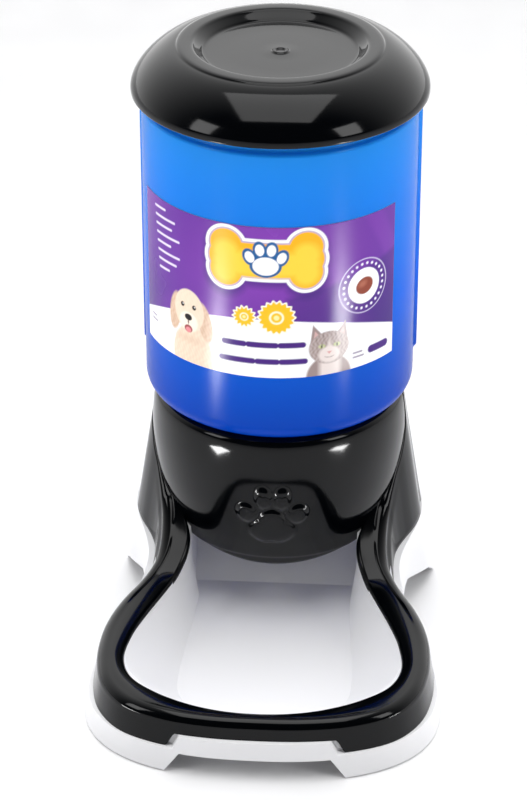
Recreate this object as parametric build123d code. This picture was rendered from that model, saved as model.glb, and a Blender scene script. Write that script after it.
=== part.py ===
from build123d import *
from functools import lru_cache
from math import cos, hypot, pi, radians, sin
import os

os.makedirs("parts", exist_ok=True)

# Gravity pet feeder. Heights are measured from the floor. While it is being modelled the
# reservoir's axis is X = Y = 0 and the bowl reaches towards -Y; export moves every piece so
# that the origin ends up at the centre of the footprint.

# Walls and clearances
cover_wall = 2.4
base_wall = 2.4
lid_wall = 2.2
reservoir_wall = 2.0
cover_clearance = 0.35
neck_clearance = 0.5
plug_clearance = 0.5

# Footprint of the black cover at the lower edge of its front skirt
skirt_z = 13.0
front_reach = 184.2
bowl_half_width = 86.2
bowl_widest_y = -124.0
corner_power = 2.4
waist_half_width = 68.0
waist_y = -45.0
tail_radius = 80.0
tail_y = 6.0
draft = 0.16
outline_steps = 9
cutter_size = 600.0
cutter_half_span = 110.0
cutter_overrun = 12.0

# Lower edge of the cover, from the front skirt back to the tail
front_edge_y = -112.0
side_edge_z = 35.0
tail_edge_z = 45.0

# Food opening, bowl and chute
opening_front = 171.0
opening_half_width = 69.5
opening_widest_y = -127.0
opening_power = 2.05
chute_half_width = 43.0
chute_mouth_y = -35.0
chute_back_y = 38.0
chute_wall_set_back = 10.0
chute_below_deck = 21.5
chute_cut_below_deck = 8.0
bowl_wall_z = 30.0
floor_z = 8.0
floor_front = 150.0
floor_half_width = 44.0
floor_widest_y = -116.0
floor_power = 2.3
floor_throat_half_width = 40.0
ramp_foot_y = -22.0
ramp_below_deck = 32.5
ramp_plate_drop = 3.0

# Hood. The crest is the S-shaped top line of the cover: nearly level along the rim, then
# rising to the deck, as (Y, share of the rise from the rim to the deck)
deck_z = 124.5
crest_front_z = 29.5
crest_knee_y = -84.0
crest_knee_z = 35.0
crest_rise = [(-64.0, 0.06), (-48.0, 0.19), (-36.0, 0.31), (-26.0, 0.44), (-16.0, 0.58), (-4.0, 0.73), (6.0, 0.87)]
crest_top_y = 12.0
hood_top_radius = 64.5
hood_edge_drop = 6.0
hood_lip_z = 40.5
hood_lip_bow = 132.0
# Front of the hood, as (radius beyond the top radius, share of the height from the lip)
hood_bulge = [(0.0, 1.0), (1.7, 0.82), (1.5, 0.64), (0.1, 0.46), (-2.5, 0.28), (-5.9, 0.12), (-10.5, -0.05)]
seat_outer_radius = 57.5
seat_flat_radius = 60.0
seat_drop = 14.5
seat_collar = 6.5
seat_shoulder = 1.5
seat_overlap = 3.0

# White skirt, feet and fasteners
skirt_stand_proud = 1.2
ledge_depth = 4.2
collar_rise = 6.0
shelf_z = 18.0
skirt_lift = 0.8
front_notch_half_width = 45.0
front_notch_top_half_width = 37.0
front_notch_z = 11.0
front_notch_band = 9.0
front_notch_depth = 22.0
side_notch_front_y = -94.0
side_notch_back_y = 10.0
side_notch_z = 20.0
side_notch_run = 42.0
side_notch_slant = 10.0
side_notch_inset = 8.0
pad_radius = 6.0
pad_socket_wall = 1.6
pad_socket_depth = 1.2
front_pad = (66.0, -148.0)
rear_pad = (67.0, 22.0)
screw_radius = 1.45
screw_hole_clearance = 0.05
screw_head_radius = 3.0
screw_head_height = 2.0
screw_length = 10.0
screw_slot = 0.8
screw_slot_depth = 1.6
boss_radius = 3.6
front_boss = (75.6, -124.0)
rear_boss = (50.0, 50.0)
rear_boss_top = 64.0

# Reservoir, whose body stands on the deck
reservoir_radius = 69.0
reservoir_height = 155.5
reservoir_corner = 10.0
mouth_step = 1.6
mouth_height = 13.0
neck_radius = 36.0
neck_below_deck = 26.5
rib_width = 11.0
rib_proud = 1.7
rib_angle = 97.0
rib_above_deck = 15.5

# Label
label_above_deck = 34.5
label_height = 82.5
label_thickness = 0.3
label_span = 126.0
label_centre = -5.0

# Lid, whose edge stays a little above the reservoir's shoulder
lid_radius = 74.0
lid_reveal = 5.0
lid_height = 24.0
lid_edge_height = 2.5
lid_dome_power = 1.5
lid_crest_outer = 51.5
lid_crest_inner = 43.0
lid_crest_round = 1.1
lid_dish_radius = 37.0
lid_dish_depth = 5.0
plug_reach = 3.0
plug_wall = 2.0
stop_width = 1.6

# Heights that follow from the ones above
shoulder_z = deck_z + reservoir_height
mouth_top_z = shoulder_z + mouth_height
mouth_radius = reservoir_radius - mouth_step
lid_edge_z = shoulder_z + lid_reveal
lid_top_z = lid_edge_z + lid_height
chute_top_z = deck_z - chute_below_deck
ramp_top_z = deck_z - ramp_below_deck
body_low = -4.0

# The reservoir's axis sits this far behind the centre of the footprint, whose foremost point
# is above the front notch and whose rearmost point is at the foot of the tail
front_extent = front_reach + skirt_stand_proud + draft * (skirt_z - front_notch_z)
tail_foot_y = tail_y * (deck_z - skirt_lift) / (deck_z - skirt_z)
rear_extent = tail_foot_y + tail_radius + skirt_stand_proud + draft * (skirt_z - skirt_lift)
axis_y = (front_extent - rear_extent) / 2


def ease(t):
    """Smooth step from 1 at t = 0 down to 0 at t = 1, level at both ends."""
    return 0.5 + 0.5 * cos(pi * t)


def half_outline(front, half_width, widest_y, power, waist, waist_at, tail, tail_at):
    """Right half of the footprint: superellipse front, eased waist, round tail."""
    depth = front + widest_y
    points = []
    for i in range(outline_steps):
        a = pi / 2 * i / outline_steps
        x = half_width * sin(a) ** (2 / power)
        y = widest_y - depth * cos(a) ** (2 / power)
        points.append((x, y))
    for i in range(outline_steps - 2):
        t = i / (outline_steps - 2)
        y = widest_y + (waist_at - widest_y) * t
        points.append((waist + (half_width - waist) * ease(t), y))
    for i in range(outline_steps - 4):
        t = i / (outline_steps - 4)
        y = waist_at + (tail_at - waist_at) * t
        points.append((tail + (waist - tail) * ease(t), y))
    for i in range(outline_steps - 3):
        a = pi / 2 * i / (outline_steps - 3)
        points.append((tail * cos(a), tail_at + tail * sin(a)))
    points.append((0.0, tail_at + tail))
    return points


def footprint_points(z, grow):
    """Outline of the drafted body at height z, grown outward by grow."""
    shrink = draft * (z - skirt_z) - grow
    centre = tail_y * (deck_z - z) / (deck_z - skirt_z)
    right = half_outline(front_reach - shrink, bowl_half_width - shrink, bowl_widest_y, corner_power,
                         waist_half_width - shrink, waist_y, tail_radius - shrink, centre)
    left = [(-x, y) for x, y in reversed(right[1:-1])]
    return right + left


def chord_parameters(points):
    """Running length along a closed outline, as shares of the whole."""
    total = [0.0]
    for a, b in zip(points, points[1:] + points[:1]):
        total.append(total[-1] + hypot(b[0] - a[0], b[1] - a[1]))
    return [t / total[-1] for t in total]


@lru_cache(maxsize=None)
def drafted_body(grow):
    """Footprint carried up to the deck with draft. One set of spline parameters serves every
    section, so bodies of different size stay parallel."""
    shared = chord_parameters(footprint_points(skirt_z, 0.0))
    wires = []
    for z in (body_low, deck_z):
        points = [Vector(x, y, z) for x, y in footprint_points(z, grow)]
        wires.append(Wire([Edge.make_spline(points, periodic=True, parameters=shared)]))
    return Solid.make_loft(wires, True)


def slab(low, high):
    return Pos(0, 0, (low + high) / 2) * Box(cutter_size, cutter_size, high - low)


def side_block(profile_points, straight_points):
    """Block across the whole width below a curve drawn in the Y-Z plane."""
    curve = Spline([Vector(0, y, z) for y, z in profile_points])
    start = Vector(0, *profile_points[0])
    end = Vector(0, *profile_points[-1])
    closing = [Vector(0, y, z) for y, z in straight_points]
    rest = Polyline(end, *closing, start)
    face = Face(Wire([curve] + rest.edges()))
    return extrude(face, cutter_half_span, dir=(1, 0, 0), both=True)


@lru_cache(maxsize=None)
def crest_block(drop, shift):
    """Everything below the cover's S-shaped top line, lowered by drop and moved back by shift."""
    start = -front_reach - 11.0
    line = [(start, crest_front_z)]
    for share in (0.4, 0.75):
        line.append((start + (crest_knee_y - start) * share,
                     crest_front_z + (crest_knee_z - crest_front_z) * share * 0.75))
    line.append((crest_knee_y, crest_knee_z))
    line += [(y, crest_knee_z + (deck_z - crest_knee_z) * rise) for y, rise in crest_rise]
    moved = [(y + shift, z - drop) for y, z in line]
    top = deck_z - drop
    behind = tail_y + tail_radius + 30.0
    return side_block(moved, [(crest_top_y + shift, top), (behind, top), (behind, body_low - 1),
                              (start + shift, body_low - 1)])


@lru_cache(maxsize=None)
def edge_block(rise):
    """Everything below the line where the black cover meets the white skirt, raised by rise."""
    before = -front_reach - 16.0
    behind = tail_y + tail_radius + 30.0
    line = [(before, skirt_z), (front_edge_y, skirt_z), (waist_y, side_edge_z),
            (tail_y, tail_edge_z), (behind, tail_edge_z)]
    points = [Vector(0, y, z + rise) for y, z in line]
    outline = Polyline(*points, Vector(0, behind, body_low - 1), Vector(0, before, body_low - 1), close=True)
    block = extrude(Face(Wire(outline.edges())), 2 * bowl_half_width, dir=(1, 0, 0), both=True)
    return block + front_notch(front_notch_z + front_notch_band + rise)


def front_notch(top):
    """Trapezoid through the front of the skirt that leaves two front feet."""
    bottom = body_low - 1
    slant = (front_notch_half_width - front_notch_top_half_width) / front_notch_z
    wide = front_notch_half_width - slant * bottom
    narrow = front_notch_half_width - slant * min(top, front_notch_z)
    outline = Polyline(Vector(-wide, 0, bottom), Vector(wide, 0, bottom), Vector(narrow, 0, top),
                       Vector(-narrow, 0, top), close=True)
    block = extrude(Face(Wire(outline.edges())), front_notch_depth + cutter_overrun, dir=(0, -1, 0))
    return Pos(0, front_notch_depth - front_reach, 0) * block


def side_notch():
    """Arch through both sides of the white skirt, between the front and rear feet."""
    low = body_low - 1
    outline = Polyline(Vector(0, side_notch_front_y, low),
                       Vector(0, side_notch_front_y + side_notch_slant, front_notch_z),
                       Vector(0, side_notch_back_y - side_notch_run, side_notch_z),
                       Vector(0, side_notch_back_y - side_notch_run / 3, side_notch_z / 2),
                       Vector(0, side_notch_back_y, 0), Vector(0, side_notch_back_y, low), close=True)
    block = extrude(Face(Wire(outline.edges())), 2 * bowl_half_width, dir=(1, 0, 0), both=True)
    middle = Box(2 * (waist_half_width - side_notch_inset), cutter_size, deck_z)
    return block - middle


def opening_outline(z, grow, front, half_width, widest_y, power, throat):
    """Food opening: superellipse front easing back to the mouth of the chute."""
    depth = front + widest_y
    right = []
    for i in range(outline_steps):
        a = pi / 2 * i / outline_steps
        right.append(((half_width + grow) * sin(a) ** (2 / power),
                      widest_y - (depth + grow) * cos(a) ** (2 / power)))
    for i in range(outline_steps):
        t = i / (outline_steps - 1)
        y = widest_y + (chute_mouth_y - widest_y) * t
        right.append((throat + grow + (half_width - throat) * ease(t), y))
    left = [(-x, y) for x, y in reversed(right[1:])]
    curve = Spline([Vector(x, y, z) for x, y in left + right])
    back = Line(Vector(*right[-1], z), Vector(*left[0], z))
    return Wire([curve, back])


def rim_outline(z, grow):
    return opening_outline(z, grow, opening_front, opening_half_width, opening_widest_y,
                           opening_power, chute_half_width)


def floor_outline(z, grow):
    return opening_outline(z, grow, floor_front, floor_half_width, floor_widest_y,
                           floor_power, floor_throat_half_width)


def bowl_space(grow):
    """Solid that fills the bowl and the open air above it, grown outward by grow."""
    low = floor_z - grow
    slope = Solid.make_loft([floor_outline(low, grow), rim_outline(bowl_wall_z, grow)], True)
    above = extrude(Face(rim_outline(bowl_wall_z, grow)), deck_z, dir=(0, 0, 1))
    return slope + above


def block(x_half, y0, y1, z0, z1):
    return Pos(0, (y0 + y1) / 2, (z0 + z1) / 2) * Box(2 * x_half, y1 - y0, z1 - z0)


def disc(x, y, z0, z1, radius):
    return Pos(x, y, (z0 + z1) / 2) * Cylinder(radius, z1 - z0)


def mirrored(place):
    x, y = place
    return [(-x, y), (x, y)]


def ring(points):
    """Solid of revolution about the reservoir's axis from a closed (radius, height) polygon."""
    outline = Polyline(*[Vector(r, 0, z) for r, z in points], close=True)
    return revolve(Face(Wire(outline.edges())), axis=Axis.Z)


def hood_front():
    """Rounded front of the hood, open below, with a bowed lower edge."""
    tall = deck_z - hood_edge_drop - hood_lip_z
    outer = [(hood_top_radius + bulge, hood_lip_z + tall * share) for bulge, share in hood_bulge]
    inner = [(r - cover_wall, z) for r, z in outer]
    outside = Spline([Vector(r, 0, z) for r, z in outer])
    inside = Spline([Vector(r, 0, z) for r, z in reversed(inner)])
    foot = Line(Vector(outer[-1][0], 0, outer[-1][1]), Vector(inner[-1][0], 0, inner[-1][1]))
    head = Line(Vector(inner[0][0], 0, inner[0][1]), Vector(outer[0][0], 0, outer[0][1]))
    shell = revolve(Face(Wire([outside, foot, inside, head])), axis=Axis.Z)
    bow = Pos(0, 0, hood_lip_z + hood_lip_bow) * Rot(90, 0, 0) * Cylinder(hood_lip_bow, 4 * hood_top_radius)
    return shell & bow & block(2 * hood_top_radius, -2 * hood_top_radius, crest_rise[-1][0], 0, deck_z)


def hood_seat():
    """Rim and funnel-shaped seat that the reservoir stands in, with a collar round its neck."""
    hole = neck_radius + neck_clearance
    low = deck_z - seat_drop
    edge = deck_z - hood_edge_drop
    return ring([(hole, low - seat_collar), (hole, low), (seat_outer_radius, deck_z), (seat_flat_radius, deck_z),
                 (hood_top_radius - seat_shoulder, deck_z - seat_shoulder), (hood_top_radius, edge),
                 (hood_top_radius, edge - seat_overlap), (hood_top_radius - cover_wall, edge - seat_overlap),
                 (seat_outer_radius + 1, deck_z - cover_wall), (hole + cover_wall, low - cover_wall / 2),
                 (hole + cover_wall, low - seat_collar)])


def make_hood_cover():
    outer = drafted_body(0.0) & crest_block(0.0, 0.0)
    cavity = drafted_body(-cover_wall) & crest_block(cover_wall, 0.75 * cover_wall)
    skin = outer - cavity
    skin -= bowl_space(0)
    skin -= block(chute_half_width + base_wall + cover_clearance, chute_mouth_y - 1,
                  chute_back_y + base_wall + cover_clearance, 0, deck_z - chute_cut_below_deck)
    hole = neck_radius + neck_clearance
    seat_void = ring([(0, chute_top_z), (hole, chute_top_z), (hole, deck_z - seat_drop),
                      (seat_outer_radius, deck_z), (seat_outer_radius, deck_z + 2), (0, deck_z + 2)])
    front = hood_front() - crest_block(cover_wall / 2, cover_wall / 3)
    skin = (skin - seat_void) + front + hood_seat()
    skin -= edge_block(0.0)
    bosses = [disc(x, y, shelf_z, crest_front_z, boss_radius) for x, y in mirrored(front_boss)]
    bosses += [disc(x, y, shelf_z, rear_boss_top, boss_radius) for x, y in mirrored(rear_boss)]
    skin += [boss & outer for boss in bosses]
    bore = screw_radius + screw_hole_clearance
    for x, y in mirrored(front_boss) + mirrored(rear_boss):
        skin -= disc(x, y, shelf_z - 1, shelf_z + screw_length - base_wall + 0.5, bore)
    return skin


def base_frame():
    """White skirt with its ledge under the cover, the collar inside the cover and a shelf."""
    under = edge_block(0.0)
    outer = drafted_body(skirt_stand_proud)
    gap = cover_wall + cover_clearance
    skin = (outer - drafted_body(skirt_stand_proud - base_wall)) & under
    ledge = (outer - drafted_body(-ledge_depth - base_wall)) & (under - edge_block(-base_wall))
    collar = drafted_body(-gap) - drafted_body(-gap - base_wall)
    collar = collar & (edge_block(collar_rise) - edge_block(-base_wall)) & crest_block(gap, 0.75 * cover_wall)
    shelf = drafted_body(-gap) & slab(shelf_z - base_wall, shelf_z)
    frame = (skin + ledge + collar + shelf) & slab(skirt_lift, deck_z)
    return frame - side_notch() - front_notch(front_notch_z)


def trough():
    """Bowl and chute in one moulding, with the ramp that feeds the bowl."""
    behind = chute_back_y + base_wall
    outer = bowl_space(base_wall) + block(chute_half_width + base_wall, chute_mouth_y - 1, behind,
                                          floor_z - base_wall, chute_top_z)
    limit = crest_block(cover_wall + cover_clearance, 0.75 * cover_wall)
    limit += block(chute_half_width + base_wall, chute_mouth_y + chute_wall_set_back, behind, 0, chute_top_z)
    hollow = bowl_space(0.0) + block(chute_half_width, chute_mouth_y - 1, chute_back_y, floor_z, chute_top_z + 1)
    ramp = Polyline(Vector(0, ramp_foot_y, floor_z), Vector(0, chute_back_y, ramp_top_z),
                    Vector(0, chute_back_y, ramp_top_z - ramp_plate_drop),
                    Vector(0, ramp_foot_y + ramp_plate_drop, floor_z), close=True)
    ramp_plate = extrude(Face(Wire(ramp.edges())), chute_half_width, dir=(1, 0, 0), both=True)
    return ((outer & limit) - hollow) + ramp_plate


def make_base_tray():
    frame = base_frame() - bowl_space(base_wall / 2)
    frame -= block(chute_half_width + base_wall / 2, chute_mouth_y - 1, chute_back_y + base_wall / 2,
                   0, deck_z)
    for x, y in mirrored(front_boss) + mirrored(rear_boss):
        frame -= disc(x, y, shelf_z, rear_boss_top, boss_radius + cover_clearance)
        frame -= disc(x, y, shelf_z - base_wall - 1, shelf_z + 1, screw_radius + 2 * cover_clearance)
    tray = frame + trough()
    for x, y in mirrored(front_pad) + mirrored(rear_pad):
        tray += disc(x, y, skirt_lift, shelf_z, pad_radius + pad_socket_wall)
        tray -= disc(x, y, 0, skirt_lift + pad_socket_depth, pad_radius)
    return tray


def make_foot_pad(x, y):
    return disc(x, y, 0, skirt_lift + pad_socket_depth, pad_radius)


def make_cover_screws():
    screws = []
    for x, y in mirrored(front_boss) + mirrored(rear_boss):
        under_head = shelf_z - base_wall
        head = disc(x, y, under_head - screw_head_height, under_head, screw_head_radius)
        shank = disc(x, y, under_head - 0.5, under_head + screw_length, screw_radius)
        long_side = 2 * screw_head_radius - screw_slot_depth
        slot = Pos(x, y, under_head - screw_head_height) * Box(screw_slot, long_side, screw_slot_depth)
        cross = Pos(x, y, under_head - screw_head_height) * Box(long_side, screw_slot, screw_slot_depth)
        screws.append(head + shank - slot - cross)
    return screws


def make_reservoir():
    r = reservoir_radius
    w = reservoir_wall
    c = reservoir_corner
    low = deck_z - seat_drop
    arc = [(r - c + c * sin(radians(a)), deck_z + c - c * cos(radians(a))) for a in range(0, 91, 15)]
    inner_arc = [(r - c + (c - w) * sin(radians(a)), deck_z + c - (c - w) * cos(radians(a)))
                 for a in range(90, -1, -15)]
    lift = neck_clearance
    neck_end = deck_z - neck_below_deck
    outline = [(neck_radius, neck_end), (neck_radius, low + lift), (seat_outer_radius - lift, deck_z)]
    outline += arc
    outline += [(r, shoulder_z), (mouth_radius, shoulder_z + w), (mouth_radius, mouth_top_z),
                (mouth_radius - w, mouth_top_z), (mouth_radius - w, shoulder_z + w / 2),
                (r - w, shoulder_z - w / 2)]
    outline += inner_arc
    outline += [(seat_outer_radius - lift - w / 4, deck_z + w), (neck_radius - w, low + lift + w / 2),
                (neck_radius - w, neck_end)]
    tank = ring(outline)
    rib_height = reservoir_height - rib_above_deck - rib_proud
    for side in (-1, 1):
        bar = Box(rib_proud + w, rib_width, rib_height)
        bar = fillet(bar.edges().filter_by(Axis.Z).group_by(Axis.X)[-1], rib_proud * 0.6)
        bar = Pos(r + (rib_proud - w) / 2, 0, deck_z + rib_above_deck + rib_height / 2) * bar
        bar -= disc(0, 0, deck_z, shoulder_z, r - w / 2)
        tank += Rot(0, 0, -90 + side * rib_angle) * bar
    return tank


def make_front_label():
    r = reservoir_radius
    bottom = deck_z + label_above_deck
    top = bottom + label_height
    full = disc(0, 0, bottom, top, r + label_thickness) - disc(0, 0, bottom, top, r)
    reach = 2 * r
    half = label_span / 2
    corners = [(0.0, 0.0)]
    for a in (-half, -half / 2, 0, half / 2, half):
        corners.append((reach * sin(radians(a + label_centre)), -reach * cos(radians(a + label_centre))))
    wedge = extrude(make_face(Polyline(*corners, close=True)), label_height, dir=(0, 0, 1))
    return full & Pos(0, 0, bottom) * wedge


def dome_line(inward):
    """Superellipse from the lid's upright edge up to the crest, moved inward by a wall."""
    foot = lid_edge_z + lid_edge_height
    run = lid_radius - lid_crest_outer
    rise = lid_top_z - lid_crest_round - foot
    line = []
    for i in range(outline_steps):
        a = pi / 2 * i / (outline_steps - 1)
        radius = lid_crest_outer + (run - inward) * cos(a) ** (2 / lid_dome_power)
        line.append((radius, foot + (rise - inward) * sin(a) ** (2 / lid_dome_power)))
    return line


def make_lid():
    w = lid_wall
    dish = lid_top_z - lid_dish_depth
    outer = [(lid_radius, lid_edge_z)] + dome_line(0.0)
    outer += [(lid_crest_outer - 2, lid_top_z - 0.2), (lid_crest_inner + 2, lid_top_z),
              (lid_crest_inner, lid_top_z - 0.8), (lid_dish_radius + 1.6, dish + 0.5),
              (lid_dish_radius - 1, dish), (0, dish)]
    under = [(0, dish - w), (lid_dish_radius, dish - w), (lid_dish_radius + 2, dish - w + 0.6),
             (lid_crest_inner + w / 2, lid_top_z - w - 0.4)]
    under += list(reversed(dome_line(w))) + [(lid_radius - w, lid_edge_z)]
    plug_outer = mouth_radius - reservoir_wall - plug_clearance
    plug = ring([(plug_outer, shoulder_z + plug_reach), (plug_outer, lid_top_z),
                 (plug_outer - plug_wall, lid_top_z), (plug_outer - plug_wall, shoulder_z + plug_reach)])
    stop_outer = mouth_radius - 0.2
    stop = ring([(stop_outer, mouth_top_z), (stop_outer, lid_top_z), (stop_outer - stop_width, lid_top_z),
                 (stop_outer - stop_width, mouth_top_z)])
    filled = ring(outer + [(0, lid_edge_z)])
    return ring(outer + under) + ((plug + stop) & filled)


def keep(shapes, name):
    """Place a piece, or a group of like pieces, relative to the footprint's centre and write it."""
    solids = [Pos(0, axis_y, 0) * solid for shape in shapes for solid in shape.solids()]
    export_step(solids[0] if len(solids) == 1 else Compound(solids), "parts/" + name + ".step")
    print(name, len(solids), round(sum(solid.volume for solid in solids)))


keep([make_lid()], "lid")
keep([make_reservoir()], "reservoir")
keep([make_front_label()], "front_label")
keep([make_hood_cover()], "hood_cover")
keep([make_base_tray()], "base_tray")
for side, place in (("front", front_pad), ("rear", rear_pad)):
    for hand, (x, y) in zip(("left", "right"), mirrored(place)):
        keep([make_foot_pad(x, y)], side + "_" + hand + "_foot_pad")
keep(make_cover_screws(), "cover_screws")
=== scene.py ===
import bpy
import math
import numpy as np
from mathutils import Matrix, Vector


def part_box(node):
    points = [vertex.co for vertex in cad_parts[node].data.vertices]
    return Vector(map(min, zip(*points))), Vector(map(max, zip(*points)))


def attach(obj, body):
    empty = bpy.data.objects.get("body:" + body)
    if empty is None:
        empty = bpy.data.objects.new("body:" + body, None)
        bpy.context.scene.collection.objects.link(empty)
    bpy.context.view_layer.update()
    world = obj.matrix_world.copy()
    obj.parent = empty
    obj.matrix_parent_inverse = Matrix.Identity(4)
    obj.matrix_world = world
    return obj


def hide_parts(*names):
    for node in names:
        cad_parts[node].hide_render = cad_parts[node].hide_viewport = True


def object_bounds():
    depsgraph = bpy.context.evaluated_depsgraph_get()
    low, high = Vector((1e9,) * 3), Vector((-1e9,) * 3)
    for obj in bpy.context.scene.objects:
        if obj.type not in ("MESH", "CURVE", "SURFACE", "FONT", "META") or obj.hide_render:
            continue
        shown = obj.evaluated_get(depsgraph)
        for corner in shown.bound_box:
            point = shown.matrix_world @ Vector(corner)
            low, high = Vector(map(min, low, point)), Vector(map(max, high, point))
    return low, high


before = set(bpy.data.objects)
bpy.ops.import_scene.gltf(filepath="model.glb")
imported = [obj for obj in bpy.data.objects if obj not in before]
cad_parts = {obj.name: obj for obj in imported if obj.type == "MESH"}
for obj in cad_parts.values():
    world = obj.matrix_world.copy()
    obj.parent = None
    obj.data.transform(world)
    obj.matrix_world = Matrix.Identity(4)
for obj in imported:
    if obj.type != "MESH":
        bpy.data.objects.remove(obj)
boxBefore = [list(map(float, corner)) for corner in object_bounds()]
print("frame loaded", boxBefore)

# All shapes are worked out in millimetres about the reservoir's upright axis, then moved
# by the axis position and turned into metres.
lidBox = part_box("lid")
axisX = (lidBox[0][0] + lidBox[1][0]) / 2
axisY = (lidBox[0][1] + lidBox[1][1]) / 2
floorZ = boxBefore[0][2]


def ease(t):
    # Smooth step: three times the square less twice the cube, held between 0 and 1
    t = np.clip(t, 0.0, 1.0)
    return t * t * (3 - 2 * t)


def bump(value, low, high, soft):
    # 1 between low and high, with an eased step of the given width at each end
    return ease((value - low) / soft + 0.5) * ease((high - value) / soft + 0.5)


def curveThrough(points, samples, closed=False):
    # Catmull-Rom spline, re-spaced evenly by its own length
    p = np.asarray(points, float)
    n = len(p)
    if closed:
        q = np.vstack([p[-1], p, p[0], p[1]])
        spans = n
    else:
        q = np.vstack([2 * p[0] - p[1], p, 2 * p[-1] - p[-2]])
        spans = n - 1
    spanSteps = 32
    t = (np.arange(spanSteps) / spanSteps)[:, None]
    parts = []
    for i in range(spans):
        a, b, c, d = q[i], q[i + 1], q[i + 2], q[i + 3]
        parts.append(0.5 * (2 * b + (c - a) * t + (2 * a - 5 * b + 4 * c - d) * t**2
                            + (3 * b - a - 3 * c + d) * t**3))
    last = q[1] if closed else q[spans + 1]
    line = np.vstack(parts + [last[None]])
    return respace(line, samples, closed)


def respace(line, samples, closed=False):
    # Points at equal lengths along a line, read off between its own points
    steps = np.linalg.norm(np.diff(line, axis=0), axis=1)
    along = np.concatenate([[0], np.cumsum(steps)])
    if closed:
        where = np.linspace(0, along[-1], samples + 1)[:-1]
    else:
        where = np.linspace(0, along[-1], samples)
    return np.stack([np.interp(where, along, line[:, k]) for k in range(line.shape[1])], 1)


def toFrame(points):
    # Millimetres about the reservoir's axis become metres in the shared frame
    metre = 0.001
    out = np.asarray(points, float) * metre
    out[:, 0] += axisX
    out[:, 1] += axisY
    out[:, 2] += floorZ
    return out


def addMesh(name, points, quads, tris=None, body="base", material=None, smooth=True):
    # One mesh from points in millimetres, its quads first and its triangles after them
    quads = np.asarray(quads, np.int32).reshape(-1, 4)
    tris = np.zeros((0, 3), np.int32) if tris is None else np.asarray(tris, np.int32).reshape(-1, 3)
    mesh = bpy.data.meshes.new(name)
    points = toFrame(points)
    mesh.vertices.add(len(points))
    mesh.vertices.foreach_set("co", points.ravel().astype(np.float32))
    loops = np.concatenate([quads.ravel(), tris.ravel()]).astype(np.int32)
    mesh.loops.add(len(loops))
    mesh.loops.foreach_set("vertex_index", loops)
    starts = np.concatenate([np.arange(len(quads)) * 4, len(quads) * 4 + np.arange(len(tris)) * 3])
    mesh.polygons.add(len(starts))
    mesh.polygons.foreach_set("loop_start", starts.astype(np.int32))
    mesh.update(calc_edges=True)
    mesh.polygons.foreach_set("use_smooth", np.full(len(starts), smooth))
    obj = bpy.data.objects.new(name, mesh)
    bpy.context.scene.collection.objects.link(obj)
    if material is not None:
        mesh.materials.append(material)
    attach(obj, body)
    return obj


def gridQuads(rows, cols, closeRows=False, closeCols=False, flip=False):
    # One quad between neighbouring rows and columns, wrapped round where closed
    r = np.arange(rows if closeRows else rows - 1)
    c = np.arange(cols if closeCols else cols - 1)
    rr, cc = np.meshgrid(r, c, indexing="ij")
    r2 = (rr + 1) % rows
    c2 = (cc + 1) % cols
    quads = np.stack([rr * cols + cc, rr * cols + c2, r2 * cols + c2, r2 * cols + cc], -1).reshape(-1, 4)
    return quads[:, ::-1] if flip else quads


def linear(red, green, blue):
    # Display colour from 0 to 255 turned into linear light by the standard curve
    c = np.array([red, green, blue]) / 255.0
    c = np.where(c <= 0.04045, c / 12.92, ((c + 0.055) / 1.055) ** 2.4)
    return (float(c[0]), float(c[1]), float(c[2]), 1.0)


def newMaterial(name):
    material = bpy.data.materials.new(name)
    material.use_nodes = True
    tree = material.node_tree
    return material, tree, tree.nodes["Principled BSDF"]


def link(tree, output, socket):
    tree.links.new(output, socket)


grainValues = {
    "detail": 4.0,
    "driftScale": 22.0,
    "driftLow": 0.3,
    "driftHigh": 0.7,
    "reliefDistance": 0.0002,
}


def fineGrain(tree, shader, scale, height, roughLow, roughHigh):
    # Small waviness for the normal and a slow drift of the roughness
    g = grainValues
    place = tree.nodes.new("ShaderNodeTexCoord")
    grain = tree.nodes.new("ShaderNodeTexNoise")
    grain.inputs["Scale"].default_value = scale
    grain.inputs["Detail"].default_value = g["detail"]
    drift = tree.nodes.new("ShaderNodeTexNoise")
    drift.inputs["Scale"].default_value = g["driftScale"]
    spread = tree.nodes.new("ShaderNodeMapRange")
    spread.inputs["From Min"].default_value = g["driftLow"]
    spread.inputs["From Max"].default_value = g["driftHigh"]
    spread.inputs["To Min"].default_value = roughLow
    spread.inputs["To Max"].default_value = roughHigh
    relief = tree.nodes.new("ShaderNodeBump")
    relief.inputs["Strength"].default_value = height
    relief.inputs["Distance"].default_value = g["reliefDistance"]
    link(tree, place.outputs["Object"], grain.inputs["Vector"])
    link(tree, place.outputs["Object"], drift.inputs["Vector"])
    link(tree, grain.outputs["Fac"], relief.inputs["Height"])
    link(tree, drift.outputs["Fac"], spread.inputs["Value"])
    link(tree, spread.outputs["Result"], shader.inputs["Roughness"])
    link(tree, relief.outputs["Normal"], shader.inputs["Normal"])
    return place


# Materials

# Each finish: name, colour, shine, metal share, and the grain's scale, height and roughness range
plastics = {
    "black": ("blackGloss", (2, 3, 5), 0.24, 0.0, (180.0, 0.05, 0.07, 0.12)),
    "white": ("whiteGloss", (249, 249, 251), 0.5, 0.0, (160.0, 0.05, 0.28, 0.38)),
    "rubber": ("padRubber", (28, 28, 30), 0.5, 0.0, (900.0, 0.4, 0.75, 0.9)),
    "steel": ("zincSteel", (150, 152, 158), 0.5, 1.0, (700.0, 0.2, 0.3, 0.45)),
}


def makePlastics():
    made = {}
    for finish, (name, colour, shine, metal, grain) in plastics.items():
        material, tree, shader = newMaterial(name)
        shader.inputs["Base Color"].default_value = linear(*colour)
        shader.inputs["Specular IOR Level"].default_value = shine
        shader.inputs["Metallic"].default_value = metal
        fineGrain(tree, shader, *grain)
        made[finish] = material
    return made


materials = makePlastics()
print("plastics made")

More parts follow.
